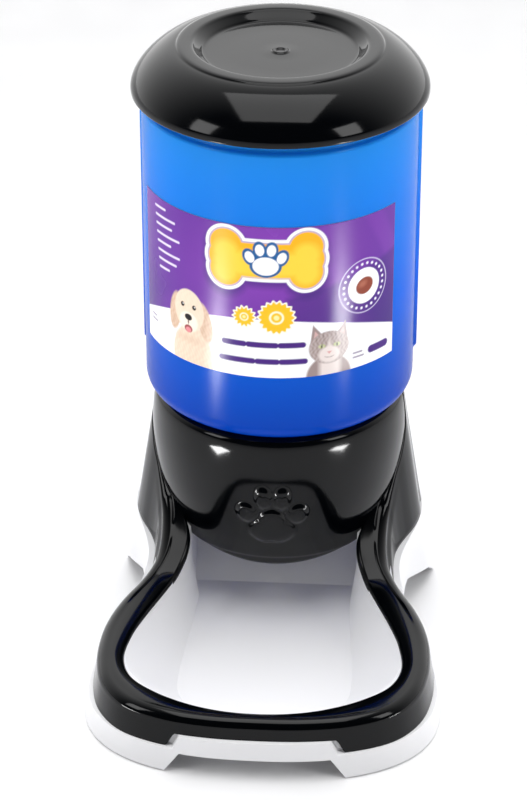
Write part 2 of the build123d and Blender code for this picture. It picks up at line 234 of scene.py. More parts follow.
blueWithPaintedShade = {
    # Painted light and shade: one blue plastic, lighter near the top where light falls and darker lower down
    "topLitBlue": (40, 168, 255),
    "midShadedBlue": (0, 118, 246),
    "lowShadedBlue": (0, 72, 200),
    "lowHeight": 0.120,
    "midHeight": 0.185,
    "topHeight": 0.285,
    "throughLight": 0.4,
    "shine": 0.16,
    "grain": (90.0, 0.06, 0.14, 0.2),
}


def makeBlue():
    # Painted light and shade: the colour is a ramp of height, lit lighter at the top and shaded deeper
    # towards the bottom, mixed with light through the wall
    blue, tree, shader = newMaterial("blueWithPaintedShade")
    place = fineGrain(tree, shader, *blueWithPaintedShade["grain"])
    split = tree.nodes.new("ShaderNodeSeparateXYZ")
    ramp = tree.nodes.new("ShaderNodeValToRGB")
    height = tree.nodes.new("ShaderNodeMapRange")
    low, high = blueWithPaintedShade["lowHeight"], blueWithPaintedShade["topHeight"]
    height.inputs["From Min"].default_value = low
    height.inputs["From Max"].default_value = high
    ramp.color_ramp.elements[0].color = linear(*blueWithPaintedShade["lowShadedBlue"])
    ramp.color_ramp.elements[1].color = linear(*blueWithPaintedShade["topLitBlue"])
    middle = ramp.color_ramp.elements.new((blueWithPaintedShade["midHeight"] - low) / (high - low))
    middle.color = linear(*blueWithPaintedShade["midShadedBlue"])
    link(tree, place.outputs["Object"], split.inputs["Vector"])
    link(tree, split.outputs["Z"], height.inputs["Value"])
    link(tree, height.outputs["Result"], ramp.inputs["Fac"])
    link(tree, ramp.outputs["Color"], shader.inputs["Base Color"])
    shader.inputs["Specular IOR Level"].default_value = blueWithPaintedShade["shine"]
    glow = tree.nodes.new("ShaderNodeBsdfTranslucent")
    link(tree, ramp.outputs["Color"], glow.inputs["Color"])
    mix = tree.nodes.new("ShaderNodeMixShader")
    mix.inputs["Fac"].default_value = blueWithPaintedShade["throughLight"]
    output = tree.nodes["Material Output"]
    link(tree, shader.outputs["BSDF"], mix.inputs[1])
    link(tree, glow.outputs["BSDF"], mix.inputs[2])
    link(tree, mix.outputs["Shader"], output.inputs["Surface"])
    return blue


materials["blue"] = makeBlue()

# Lid

lidValues = {
    "radius": 74.0,
    "edgeZ": 285.0,
    "topZ": 309.0,
    "edgeHeight": 2.5,
    "domePower": 1.5,
    "crestOuter": 51.5,
    "crestInner": 43.0,
    "dishRadius": 37.0,
    "dishDepth": 5.0,
    "crestFall": 1.1,
    "wall": 2.2,
    "plugOuter": 64.9,
    "plugInner": 62.9,
    "plugLow": 283.0,
    "plugHigh": 297.0,
    "plugSamples": 84,
    "turns": 288,
}


def lidProfile():
    # Dome: radius and height follow a cosine and a sine, each raised to two over domePower.
    # A flat raised ring and a round dish close it inwards, and the wall's inside follows below.
    v = lidValues
    foot = v["edgeZ"] + v["edgeHeight"]
    run = v["radius"] - v["crestOuter"]
    rise = v["topZ"] - v["crestFall"] - foot
    a = np.linspace(0, math.pi / 2, 60)
    dome = np.stack([v["crestOuter"] + run * np.cos(a) ** (2 / v["domePower"]),
                     foot + rise * np.sin(a) ** (2 / v["domePower"])], 1)
    dome = respace(dome, 40)
    dish = v["topZ"] - v["dishDepth"]
    c, d, e, top = v["crestOuter"], v["crestInner"], v["dishRadius"], v["topZ"]
    crest = curveThrough([(c, top - v["crestFall"]), (c - 0.8, top - 0.42), (c - 1.9, top - 0.1),
                          (c - 3.6, top), (d + 2.6, top), (d + 1.2, top - 0.1), (d + 0.2, top - 0.5),
                          (d - 0.9, top - 1.5), (e + 2.6, dish + 1.5), (e + 1.5, dish + 0.45),
                          (e + 0.4, dish + 0.1), (e - 1.4, dish)], 90)
    edge = np.array([(v["radius"] - 0.5, v["edgeZ"] + 0.02), (v["radius"] - 0.12, v["edgeZ"] + 0.25),
                     (v["radius"], v["edgeZ"] + 0.8)])
    # A small moulding mark stands in the middle of the dish
    middle = np.array([(24.0, dish + 0.02), (12.0, dish + 0.03), (5.2, dish + 0.03), (4.3, dish + 0.1),
                       (3.9, dish + 0.5), (3.5, dish + 0.75), (2.9, dish + 0.8), (2.4, dish + 0.6),
                       (2.1, dish + 0.2), (1.5, dish + 0.05), (0.6, dish + 0.04)])
    w = v["wall"]
    inner = np.stack([v["crestOuter"] - 1.0 + (run - w + 1.0) * np.cos(a) ** (2 / v["domePower"]),
                      foot + (rise - w) * np.sin(a) ** (2 / v["domePower"])], 1)
    inner = respace(inner, 24)[::-1]
    under = np.array([(3.0, dish - w), (20.0, dish - w), (e, dish - w), (e + 2, dish - w + 0.6),
                      (d + 1, top - w - 0.4)])
    end = np.array([(v["radius"] - w, v["edgeZ"] + 0.4), (v["radius"] - w + 0.4, v["edgeZ"] + 0.02)])
    return np.vstack([edge, dome, crest[1:], middle]), np.vstack([under, inner, end])


def revolve(profile, turns):
    # A profile of radius and height carried once round the upright axis
    angle = np.linspace(0, 2 * math.pi, turns, endpoint=False)
    r, z = profile[:, 0][:, None], profile[:, 1][:, None]
    return np.stack([r * np.cos(angle), r * np.sin(angle), z + 0 * angle], -1)


def makeLid():
    # The outer and inner profiles are turned as one skin, and a fan of triangles closes each pole
    upper, lower = lidProfile()
    turns = lidValues["turns"]
    top = revolve(upper, turns).reshape(-1, 3)
    bottom = revolve(lower, turns).reshape(-1, 3)
    rows = len(upper) + len(lower)
    points = np.vstack([top, bottom])
    quads = gridQuads(rows, turns, closeRows=True, closeCols=True)
    join = (len(upper) - 1) * turns
    quads = quads[(quads.min(1) < join) | (quads.min(1) >= join + turns)]
    topPole = len(points)
    underPole = topPole + 1
    points = np.vstack([points, [0, 0, upper[-1, 1]], [0, 0, lower[0, 1]]])
    k = np.arange(turns)
    k2 = (k + 1) % turns
    ringA = join
    ringB = len(upper) * turns
    tris = np.vstack([np.stack([ringA + k, ringA + k2, 0 * k + topPole], 1),
                      np.stack([ringB + k2, ringB + k, 0 * k + underPole], 1)])
    shell = addMesh("lidShell", points, quads, tris, "cap", materials["black"])
    # Plug that centres the lid in the mouth: an upright wall of rectangular section
    v = lidValues
    plug = np.array([(v["plugOuter"], v["plugLow"]), (v["plugOuter"], v["plugHigh"]),
                     (v["plugInner"], v["plugHigh"]), (v["plugInner"], v["plugLow"]),
                     (v["plugOuter"], v["plugLow"])])
    plug = respace(plug, v["plugSamples"], closed=True)
    ring = revolve(plug, turns).reshape(-1, 3)
    collar = addMesh("lidPlug", ring, gridQuads(len(plug), turns, True, True), None, "cap",
                     materials["black"], smooth=False)
    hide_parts("lid")
    return shell


makeLid()
print("lid made")

# Reservoir

tankValues = {
    "radius": 69.0,
    "deckZ": 120.8,
    "shoulderZ": 280.0,
    "corner": 10.0,
    "wall": 2.0,
    "mouthRadius": 67.4,
    "mouthTop": 293.0,
    "mouthEdge": 0.6,
    "shoulderRound": 2.0,
    "neckRadius": 36.0,
    "neckEnd": 98.0,
    "seatZ": 107.5,
    "seatRadius": 55.5,
    "ribAngle": 97.0,
    "ribWidth": 11.0,
    "ribProud": 1.7,
    "ribLow": 140.8,
    "ribHigh": 277.9,
    "ribSideSoft": 1.3,
    "ribEndSoft": 2.2,
    "cornerRows": 20,
    "sideRows": 104,
    "shoulderRows": 6,
    "insideRows": 30,
    "turns": 480,
}


def tankProfile():
    # Closed outline of radius and height: a quarter round, the straight side, the shoulder and
    # the mouth, then the same way back inside, down to the funnel and the neck
    v = tankValues
    r, w, c, deck, top = v["radius"], v["wall"], v["corner"], v["deckZ"], v["shoulderZ"]
    e, f, n = v["mouthEdge"], v["shoulderRound"], v["neckRadius"]
    a = np.radians(np.linspace(0, 90, v["cornerRows"]))
    outerCorner = np.stack([r - c + c * np.sin(a), deck + c - c * np.cos(a)], 1)
    innerCorner = np.stack([r - c + (c - w) * np.sin(a), deck + c - (c - w) * np.cos(a)], 1)[::-1]
    side = np.stack([np.full(v["sideRows"], r), np.linspace(deck + c + 1, top - 2.2, v["sideRows"])], 1)
    b = np.radians(np.linspace(0, 80, v["shoulderRows"]))
    shoulder = np.stack([r - f + f * np.cos(b), top - f + f * np.sin(b)], 1)
    m = v["mouthRadius"] - e
    mouth = np.array([(m, top + 0.5), (m, top + 2), (m, v["mouthTop"] - e), (m - 0.5, v["mouthTop"]),
                      (m - w + 0.5, v["mouthTop"]), (m - w, v["mouthTop"] - e), (m - w, top + 1),
                      (r - w, top - 3)])
    rows = v["insideRows"]
    innerSide = np.stack([np.full(rows, r - w), np.linspace(top - 5, deck + c + 1, rows)], 1)
    neck = np.array([(v["seatRadius"] - 0.5, deck + w), (n - w, v["seatZ"] + 1.5),
                     (n - w, v["neckEnd"] + 0.4), (n - w + 0.4, v["neckEnd"]),
                     (n - 0.4, v["neckEnd"]), (n, v["neckEnd"] + 0.4),
                     (n, v["seatZ"] + 0.5), (v["seatRadius"], deck + 0.02)])
    first = v["cornerRows"]
    last = first + v["sideRows"] + v["shoulderRows"]
    return np.vstack([outerCorner, side, shoulder, mouth, innerSide, innerCorner, neck]), first, last


def makeTank():
    # The outline is turned round the axis, and the radius grows by ribProud over each rib
    v = tankValues
    profile, first, last = tankProfile()
    turns = v["turns"]
    angle = np.linspace(-math.pi, math.pi, turns, endpoint=False)
    radius = np.repeat(profile[:, 0][:, None], turns, 1)
    z = np.repeat(profile[:, 1][:, None], turns, 1)
    # Angle 0 faces the bowl; a rib stands on each side of it
    half = math.degrees(v["ribWidth"] / 2 / v["radius"])
    away = np.abs(np.abs(np.degrees(angle)) - v["ribAngle"])
    across = ease((half - away) / v["ribSideSoft"] + 0.5)
    upright = bump(z[first - 2:last], v["ribLow"], v["ribHigh"], v["ribEndSoft"])
    radius[first - 2:last] += v["ribProud"] * across[None, :] * upright
    points = np.stack([radius * np.sin(angle), -radius * np.cos(angle), z], -1).reshape(-1, 3)
    quads = gridQuads(len(profile), turns, True, True)
    tank = addMesh("tankShell", points, quads, None, "tank", materials["blue"])
    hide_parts("reservoir")
    return tank


makeTank()
print("reservoir made")

# Label

labelValues = {
    "lowZ": 159.0,
    "height": 82.5,
    "span": 126.0,
    "centre": -5.0,
    "radius": 69.05,
    "thickness": 0.27,
    "columns": 404,
    "rows": 220,
    "shine": 0.2,
    "grain": (240.0, 0.05, 0.2, 0.28),
    "ground": (98, 46, 150),
    "groundLight": (136, 66, 178),
    "groundDark": (62, 36, 118),
    "band": (246, 246, 250),
    "bone": (250, 178, 28),
    "boneLight": (255, 214, 70),
    "gear": (246, 190, 34),
    "ink": (70, 34, 122),
    "dogCoat": (240, 218, 196),
    "dogShade": (206, 172, 146),
    "catCoat": (152, 134, 132),
    "catLight": (228, 216, 212),
    "kibble": (140, 66, 48),
    "kibbleLight": (196, 120, 96),
    "signEdge": (250, 250, 252),
    "signLine": (188, 170, 196),
    "pawLine": (34, 92, 150),
    "paw": (252, 252, 255),
    "gearEdge": (250, 244, 226),
    "gearRing": (252, 240, 206),
    "gearHub": (252, 232, 160),
    "sideBars": (232, 222, 244),
    "edgeBars": (150, 140, 160),
    "badgeRing": (222, 214, 238),
    "badgeDots": (240, 236, 250),
    "badge": (252, 252, 254),
    "muzzle": (248, 234, 218),
    "dogEye": (34, 24, 24),
    "dogGlint": (250, 250, 250),
    "dogNose": (26, 22, 26),
    "dogLip": (90, 60, 56),
    "dogMouth": (150, 70, 72),
    "dogTongue": (226, 140, 146),
    "catEar": (206, 170, 168),
    "catStripe": (98, 84, 86),
    "catEye": (178, 190, 120),
    "catPupil": (20, 20, 20),
    "catNose": (206, 130, 128),
    "catLip": (110, 80, 80),
    "signBone": (3.5, 64.6, 20, 10.0, 9.4),
    "shadowBone": (3.5, 62.0, 20, 10.0, 9.6),
    "lightBone": (3.5, 62.4, 20, 6.6, 6.6),
    "badgeCentre": (55.0, 44.6),
    "wordRows": ((18.2, ((-17.5, -7.5), (-5.0, 8.5), (11.0, 22.0))),
                 (9.0, ((-19.0, -3.0), (-0.5, 9.0), (11.5, 23.0)))),
    "sideBarLengths": (9, 16, 13, 18, 11, 17, 14, 8),
}


def paint(canvas, mask, colour):
    # The canvas moves towards the colour by the mask's share at each point
    mask = np.clip(mask, 0, 1)[:, None]
    tone = np.array(linear(*colour))[:3]
    canvas[:] = canvas * (1 - mask) + tone * mask


def inside(distance, soft=0.42):
    # Coverage from a signed distance in millimetres, negative inside
    return np.clip(0.5 - distance / soft, 0, 1)


def ellipse(u, v, cu, cv, ru, rv, turn=0.0):
    # Nearly the signed distance: the scaled radius less one, times the shorter half axis
    c, s = math.cos(math.radians(turn)), math.sin(math.radians(turn))
    x, y = (u - cu) * c + (v - cv) * s, -(u - cu) * s + (v - cv) * c
    k = np.hypot(x / ru, y / rv)
    return (k - 1) * min(ru, rv)


def capsule(u, v, au, av, bu, bv, radius):
    # Distance to the nearest point of a straight line, less the radius
    du, dv = bu - au, bv - av
    t = np.clip(((u - au) * du + (v - av) * dv) / (du * du + dv * dv), 0, 1)
    return np.hypot(u - au - t * du, v - av - t * dv) - radius


def cornered(u, v, points):
    # Signed distance of a convex shape, given anticlockwise
    far = np.full(u.shape, -1e9)
    for (au, av), (bu, bv) in zip(points, points[1:] + points[:1]):
        du, dv = bu - au, bv - av
        far = np.maximum(far, ((u - au) * dv - (v - av) * du) / math.hypot(du, dv))
    return far


def bone(u, v, cu, cv, half, bar, knob, grow):
    # A capsule with two round knobs at each end, all widened by grow
    shape = capsule(u, v, cu - half, cv, cu + half, cv, bar + grow)
    for side in (-1, 1):
        for lift in (-1, 1):
            away = np.hypot(u - cu - side * half, v - cv - lift * knob * 0.72)
            shape = np.minimum(shape, away - knob - grow)
    return shape


def labelArt(u, v):
    # Flat shapes painted one over another, each from its signed distance in millimetres
    s = labelValues
    art = np.tile(np.array(linear(*s["ground"]))[:3], (len(u), 1))
    # Broad lighter sweep behind the bone, darker towards the lower corners
    sweep = np.exp(-(((u - 6) / 46) ** 2 + ((v - 60 - 0.12 * u) / 30) ** 2))
    paint(art, 0.75 * sweep, s["groundLight"])
    arm = np.sin(0.055 * u + 0.09 * v + 0.0009 * u * u)
    paint(art, 0.28 * ease(arm * 1.4 - 0.3), s["groundLight"])
    paint(art, 0.8 * ease((np.abs(u + 3) - 34) / 46) * ease((62 - v) / 50), s["groundDark"])
    paint(art, 0.55 * inside(cornered(u, v, [(14, 44), (16, 32), (80, 14), (80, 60)]), 3.0), s["groundDark"])
    # White band whose top edge is a shallow hill
    hill = 32.3 - 15.4 * (np.abs(u) / 75) ** 2
    paint(art, inside(v - hill), s["band"])
    # Bone sign in the middle
    paint(art, 0.6 * inside(bone(u, v, *s["shadowBone"], 2.2), 4.0), s["groundDark"])
    paint(art, inside(bone(u, v, *s["signBone"], 1.5)), s["signEdge"])
    paint(art, inside(bone(u, v, *s["signBone"], -0.1)), s["signLine"])
    paint(art, inside(bone(u, v, *s["signBone"], -1.0)), s["bone"])
    paint(art, inside(bone(u, v, *s["lightBone"], 0.0), 4.0) * 0.8, s["boneLight"])
    # Paw made of plain ovals on the bone
    paw = ellipse(u, v, 3.5, 61.6, 6.4, 4.9)
    for cu, cv, turn in ((-4.4, 66.2, 24), (0.6, 70.2, 8), (6.4, 70.2, -8), (11.4, 66.2, -24)):
        paw = np.minimum(paw, ellipse(u, v, cu, cv, 2.2, 3.1, turn))
    paint(art, inside(paw - 1.2), s["pawLine"])
    paint(art, inside(paw), s["paw"])
    # Two toothed wheels
    for cu, cv, size, teeth in ((-7.2, 33.2, 5.4, 14), (8.9, 33.6, 8.8, 18)):
        around = np.arctan2(v - cv, u - cu)
        away = np.hypot(u - cu, v - cv)
        edge = size - 0.6 + 0.6 * np.cos(teeth * around)
        paint(art, inside(away - edge - 1.0), s["gearEdge"])
        paint(art, inside(away - edge), s["gear"])
        paint(art, inside(np.abs(away - size * 0.36) - size * 0.06), s["gearRing"])
        paint(art, inside(away - size * 0.16), s["gearHub"])
    # Plain rounded bars stand where a label has words
    for row, spans in s["wordRows"]:
        for left, right in spans:
            paint(art, inside(capsule(u, v, left, row, right, row, 1.55)), s["ink"])
    for k, length in enumerate(s["sideBarLengths"]):
        startU, startV = -64.5 + 0.55 * k, 77.5 - 4.6 * k
        bar = capsule(u, v, startU, startV, startU + length, startV + 0.4, 0.62)
        paint(art, 0.92 * inside(bar), s["sideBars"])
    for left, right, row in ((-70, -66, 15.0), (-70, -65, 12.4), (49, 54, 8.4), (49, 55, 6.0)):
        paint(art, inside(capsule(u, v, left, row, right, row, 0.5)), s["edgeBars"])
    paint(art, inside(capsule(u, v, 60.0, 7.6, 70.0, 7.6, 2.1)), s["ink"])
    # Round badge with one piece of kibble and a dotted ring
    cu, cv = s["badgeCentre"]
    away = np.hypot(u - cu, v - cv)
    around = np.arctan2(v - cv, u - cu)
    paint(art, inside(np.abs(away - 14.6) - 0.22), s["badgeRing"])
    dotStep, dotRadius = math.pi / 12, 12.1
    beside = dotRadius * (np.mod(around, dotStep) - dotStep / 2)
    paint(art, inside(np.hypot(away - dotRadius, beside) - 0.72), s["badgeDots"])
    paint(art, inside(away - 9.6), s["badge"])
    paint(art, inside(ellipse(u, v, 55.2, 44.6, 5.3, 4.5, 18)), s["kibble"])
    paint(art, 0.5 * inside(ellipse(u, v, 54.0, 45.8, 2.4, 1.6, 18), 1.6), s["kibbleLight"])
    paintDog(art, u, v)
    paintCat(art, u, v)
    return art


def paintDog(art, u, v):
    # Ovals for the chest, ears, head and face, with fur from two crossed sine waves
    s = labelValues
    fur = 0.5 + 0.5 * np.sin(2.3 * u + 1.1 * np.sin(0.9 * v)) * np.sin(1.2 * v + 0.7 * u)
    chest = inside(ellipse(u, v, -36.5, 4.0, 13.0, 17.5), 1.2) * inside(-v)
    paint(art, chest, s["dogCoat"])
    paint(art, chest * 0.35 * fur, s["dogShade"])
    for cu, cv, turn in ((-47.8, 26.0, -8), (-28.6, 25.0, 14)):
        ear = inside(ellipse(u, v, cu, cv, 4.2, 10.8, turn), 0.8)
        paint(art, ear, s["dogShade"])
        paint(art, ear * 0.4 * fur, s["dogCoat"])
    head = inside(ellipse(u, v, -38.6, 29.0, 9.6, 11.6), 0.6)
    paint(art, head, s["dogCoat"])
    paint(art, head * 0.16 * fur, s["dogShade"])
    paint(art, inside(ellipse(u, v, -38.8, 22.6, 6.0, 5.4), 1.0), s["muzzle"])
    for cu in (-42.6, -35.0):
        paint(art, inside(ellipse(u, v, cu, 31.4, 1.25, 1.35)), s["dogEye"])
        paint(art, inside(ellipse(u, v, cu + 0.4, 31.8, 0.35, 0.35), 0.5), s["dogGlint"])
    paint(art, inside(ellipse(u, v, -38.8, 25.2, 2.4, 1.8)), s["dogNose"])
    lip = inside(np.abs(u + 38.8) + np.abs(v - 22.6) * 0.3 - 0.5)
    paint(art, lip * inside(np.abs(v - 22.2) - 1.4), s["dogLip"])
    paint(art, inside(ellipse(u, v, -38.8, 18.8, 2.6, 2.1)), s["dogMouth"])
    paint(art, inside(ellipse(u, v, -38.8, 18.2, 1.8, 1.5)), s["dogTongue"])
    paint(art, 0.35 * inside(ellipse(u, v, -38.0, 13.0, 8.5, 2.0), 2.5), s["dogShade"])


def paintCat(art, u, v):
    # Ovals for the body, head and face, triangles for the ears, and stripes from a sine wave
    s = labelValues
    fur = 0.5 + 0.5 * np.sin(2.9 * u + 1.3 * np.sin(1.1 * v)) * np.sin(1.5 * v)
    body = inside(ellipse(u, v, 35.6, -1.0, 11.8, 12.0), 1.2)
    paint(art, body, s["catLight"])
    paint(art, body * inside(np.abs(u - 36) * -1 + 5.5, 3.0), s["catCoat"])
    for side in (-1, 1):
        near, out, tip = 35.6 + side * 3.2, 35.6 + side * 10.2, 35.6 + side * 8.6
        corners = [(near, 22.0), (out, 16.0), (tip, 28.6)]
        if side < 0:
            corners = corners[::-1]
        flap = cornered(u, v, corners)
        paint(art, inside(flap), s["catCoat"])
        paint(art, inside(flap + 1.4), s["catEar"])
    head = inside(ellipse(u, v, 35.6, 15.2, 10.6, 9.0), 0.7)
    paint(art, head, s["catCoat"])
    stripes = inside(np.abs(np.sin(0.95 * (u - 35.6))) * 2 - 0.7, 0.8)
    paint(art, head * 0.55 * stripes * ease((v - 16) / 5), s["catStripe"])
    paint(art, inside(ellipse(u, v, 35.6, 11.2, 5.6, 4.6), 1.4), s["catLight"])
    blaze = cornered(u, v, [(33.9, 13.0), (37.3, 13.0), (35.6, 21.0)])
    paint(art, inside(blaze, 1.2) * 0.8, s["catLight"])
    for cu in (31.6, 39.6):
        paint(art, inside(ellipse(u, v, cu, 16.2, 1.8, 1.1)), s["catEye"])
        paint(art, inside(ellipse(u, v, cu, 16.2, 0.5, 1.0)), s["catPupil"])
    paint(art, inside(cornered(u, v, [(35.6, 11.4), (36.9, 12.9), (34.3, 12.9)])), s["catNose"])
    lip = inside(np.abs(v - 9.6 - 0.10 * (u - 35.6) ** 2) - 0.16)
    paint(art, lip * inside(np.abs(u - 35.6) - 2.6), s["catLip"])
    paint(art, 0.4 * head * fur, s["catLight"])


def makeLabel():
    # Part of a cylinder: across is an angle about the axis and up is height, closed behind
    s = labelValues
    rows, cols = s["rows"], s["columns"]
    # Each column is a small angle, each row a small height
    turn = np.radians(s["centre"] + np.linspace(-s["span"] / 2, s["span"] / 2, cols))
    up = np.linspace(0, s["height"], rows)
    turnGrid, upGrid = np.meshgrid(turn, up)
    outer = s["radius"] + s["thickness"]

    def place(radius, angles, heights):
        return np.stack([radius * np.sin(angles), -radius * np.cos(angles), s["lowZ"] + heights], -1)

    front = place(outer, turnGrid, upGrid).reshape(-1, 3)
    low = place(s["radius"], turn, 0 * turn)
    high = place(s["radius"], turn, 0 * turn + s["height"])
    n = rows * cols
    quads = [gridQuads(rows, cols)]
    c = np.arange(cols - 1)
    lowRow, highRow = n, n + cols
    topFront = (rows - 1) * cols
    quads.append(np.stack([lowRow + c, highRow + c, highRow + c + 1, lowRow + c + 1], 1))
    quads.append(np.stack([c, lowRow + c, lowRow + c + 1, c + 1], 1))
    quads.append(np.stack([topFront + c + 1, highRow + c + 1, highRow + c, topFront + c], 1))
    r = np.arange(rows - 1)
    tris = [np.stack([0 * r + lowRow, r * cols, (r + 1) * cols], 1),
            [[lowRow, topFront, highRow]],
            np.stack([0 * r + lowRow + cols - 1, (r + 1) * cols + cols - 1, r * cols + cols - 1], 1),
            [[lowRow + cols - 1, highRow + cols - 1, topFront + cols - 1]]]
    points = np.vstack([front, low, high])
    label = addMesh("labelWrap", points, np.vstack(quads), np.vstack(tris), "tank")
    u = (turnGrid - math.radians(s["centre"])).ravel() * outer
    art = labelArt(u, upGrid.ravel())
    colour = np.ones((len(points), 4), np.float32)
    colour[:n, :3] = art
    layer = label.data.color_attributes.new("artwork", "FLOAT_COLOR", "POINT")
    layer.data.foreach_set("color", colour.ravel())
    material, tree, shader = newMaterial("labelPrint")
    shader.inputs["Specular IOR Level"].default_value = s["shine"]
    fineGrain(tree, shader, *s["grain"])
    source = tree.nodes.new("ShaderNodeAttribute")
    source.attribute_name = "artwork"
    link(tree, source.outputs["Color"], shader.inputs["Base Color"])
    label.data.materials.append(material)
    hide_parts("front_label")
    return label


makeLabel()
print("label made")

# Cover: one closed loop of wall and rim, then the rounded front of the hood and its seat

coverValues = {
    "wall": 2.4,
    "draft": 0.16,
    "deckZ": 120.4,
    "tailRadius": 63.2,
    "seatRadius": 58.0,
    "shoulder": 5.5,
    "innerRound": 2.4,
    "lipDepth": 3.2,
    "notchHalf": 41.5,
    "notchLow": 13.0,
    "notchHigh": 20.0,
    "notchSoft": 5.0,
    "edgeY": [-300, -118, -106, -60, -45, -30, 0, 30, 300],
    "edgeZ": [13.0, 13.0, 15.2, 29.0, 34.0, 37.8, 43.4, 45.0, 45.0],
    "frontPair": (0.0, -181.0, 30.0, 0.0, -170.9, 29.5),
    "rearTurns": (90, 76, 62, 48, 34, 22),
    "loopMiddle": (0.0, -50.0),
    "crown": 0.35,
    "flareOut": 2.1,
    "flareY": -50.0,
    "flareSpread": 17.0,
    "flareDepth": 8.0,
    "around": 960,
}

# Outer top line of the right half and, beside it, the inner edge of the rim
crestPairs = [
    ((63.6, 10.0, 119.6), (58.6, 8.0, 119.9)),
    ((64.8, 4.0, 114.0), (60.6, 3.0, 115.0)),
    ((66.6, -3.5, 101.0), (62.6, -4.0, 102.0)),
    ((65.6, -12.0, 89.0), (61.4, -13.5, 90.0)),
    ((62.6, -20.5, 79.0), (57.6, -23.0, 80.0)),
    ((60.4, -28.0, 70.0), (52.6, -31.0, 70.5)),
    ((58.8, -36.0, 61.5), (47.2, -38.0, 61.5)),
    ((58.6, -46.0, 53.0), (43.4, -45.5, 53.0)),
    ((60.2, -55.0, 46.0), (43.8, -52.0, 47.0)),
    ((63.6, -61.5, 41.3), (46.2, -58.5, 42.0)),
    ((68.6, -69.0, 37.6), (49.6, -66.0, 38.0)),
    ((75.2, -80.0, 35.2), (55.4, -78.0, 35.2)),
    ((80.4, -94.0, 33.6), (62.0, -93.5, 33.4)),
    ((83.2, -110.0, 32.4), (67.2, -110.0, 32.2)),
    ((83.0, -130.0, 31.6), (69.2, -129.0, 31.2)),
    ((78.2, -150.0, 31.0), (63.4, -145.5, 30.7)),
    ((66.4, -166.0, 30.5), (49.4, -157.5, 30.2)),
    ((47.0, -175.6, 30.2), (32.6, -165.8, 29.9)),
    ((24.0, -180.0, 30.0), (16.4, -169.8, 29.6)),
]


def coverLoops():
    # A round tail, the pairs above and their mirror image, joined by one closed spline
    v = coverValues
    rear = []
    for degrees in v["rearTurns"]:
        c, s = math.cos(math.radians(degrees)), math.sin(math.radians(degrees))
        rear.append(((v["tailRadius"] * c, v["tailRadius"] * s, v["deckZ"]),
                     (v["seatRadius"] * c, v["seatRadius"] * s, v["deckZ"])))
    right = [np.concatenate(pair) for pair in rear + crestPairs]
    front = np.array(v["frontPair"])
    mirror = np.array([-1, 1, 1, -1, 1, 1])
    left = [station * mirror for station in right[1:]][::-1]
    stations = np.array(right + [front] + left)
    both = curveThrough(stations, v["around"], closed=True)
    return both[:, :3], both[:, 3:]


def edgeHeight(x, y):
    # Height of the black lower edge: low in front, rising past the waist to the tail
    v = coverValues
    line = np.interp(y, v["edgeY"], v["edgeZ"])
    notch = ease((v["notchHalf"] - np.abs(x)) / v["notchSoft"] + 0.5) * (y < -150)
    return line + notch * (v["notchHigh"] - v["notchLow"])


def outwardNormals(loop):
    # At right angles to the line between near neighbours, turned away from the loop's middle
    ahead = np.roll(loop, -3, 0) - np.roll(loop, 3, 0)
    n = np.stack([-ahead[:, 1], ahead[:, 0]], 1)
    n /= np.linalg.norm(n, axis=1)[:, None]
    outward = np.sign((n * (loop[:, :2] - coverValues["loopMiddle"])).sum(1).mean())
    return n * outward


def makeCoverSweep():
    # A section carried round the loop: inner edge, crowned rim, quarter round, drafted wall,
    # lower edge and the same wall back up inside, all measured from the two top lines
    v = coverValues
    crest, inner = coverLoops()
    normal = outwardNormals(crest)
    across = crest[:, :2] - inner[:, :2]
    width = np.linalg.norm(across, axis=1)
    across /= width[:, None]
    big = np.minimum(v["shoulder"], 0.55 * width)
    small = np.minimum(v["innerRound"], 0.3 * width)
    low = edgeHeight(crest[:, 0], crest[:, 1])
    columns = []

    def add(point, out, drop):
        # A point moved outward along the wall's normal and lowered
        xy = point[:, :2] + normal * out[:, None]
        columns.append(np.concatenate([xy, (point[:, 2] - drop)[:, None]], 1))

    def addInner(step, drop):
        xy = inner[:, :2] + across * step[:, None]
        height = inner[:, 2] + (crest[:, 2] - inner[:, 2]) * step / width
        columns.append(np.concatenate([xy, (height - drop)[:, None]], 1))

    def wallOut(drop):
        # The draft grows with depth, and the waist's flare fades in below the rounded edge
        return v["draft"] * (drop - big) + flare * ease((drop - big) / v["flareDepth"])

    zero = np.zeros(len(crest))
    # The wall flares a little below the waist, where the white skirt meets it
    flare = v["flareOut"] * np.exp(-((crest[:, 1] - v["flareY"]) / v["flareSpread"]) ** 2)
    lip = zero + v["lipDepth"]
    addInner(zero, lip)
    addInner(zero, 0.5 * (lip + small))
    for a in np.radians(np.linspace(0, 90, 9)):
        addInner(small * (1 - math.cos(a)), small * (1 - math.sin(a)))
    flat = width - small - big
    for t in np.linspace(0.12, 0.88, 7):
        addInner(small + flat * t, zero - v["crown"] * math.sin(math.pi * t))
    for a in np.radians(np.linspace(90, 6, 15)):
        add(crest, -big * (1 - math.cos(a)), big * (1 - math.sin(a)))
    deep = crest[:, 2] - low
    for t in np.linspace(0, 1, 22)[1:]:
        drop = big + (deep - big) * t
        add(crest, wallOut(drop), drop)
    bottomOut = wallOut(deep)
    add(crest, bottomOut - 0.3, deep + 0.25)
    add(crest, bottomOut - v["wall"] + 0.3, deep + 0.25)
    inward = np.minimum(v["wall"], 0.45 * width)
    for t in np.linspace(1, 0, 14):
        drop = big + (deep - big) * t
        add(crest, wallOut(drop) - v["wall"] * t - inward * (1 - t), drop)
    for t in np.linspace(0.6, 0.0, 6):
        addInner(width * t + inward * (1 - t) * 0.5, lip * 0.9 + zero)
    points = np.stack(columns, 1)
    rows, cols = points.shape[:2]
    sweep = addMesh("coverSweep", points.reshape(-1, 3), gridQuads(rows, cols, True, True, flip=True), None,
                    "base", materials["black"])
    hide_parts("hood_cover")
    return sweep


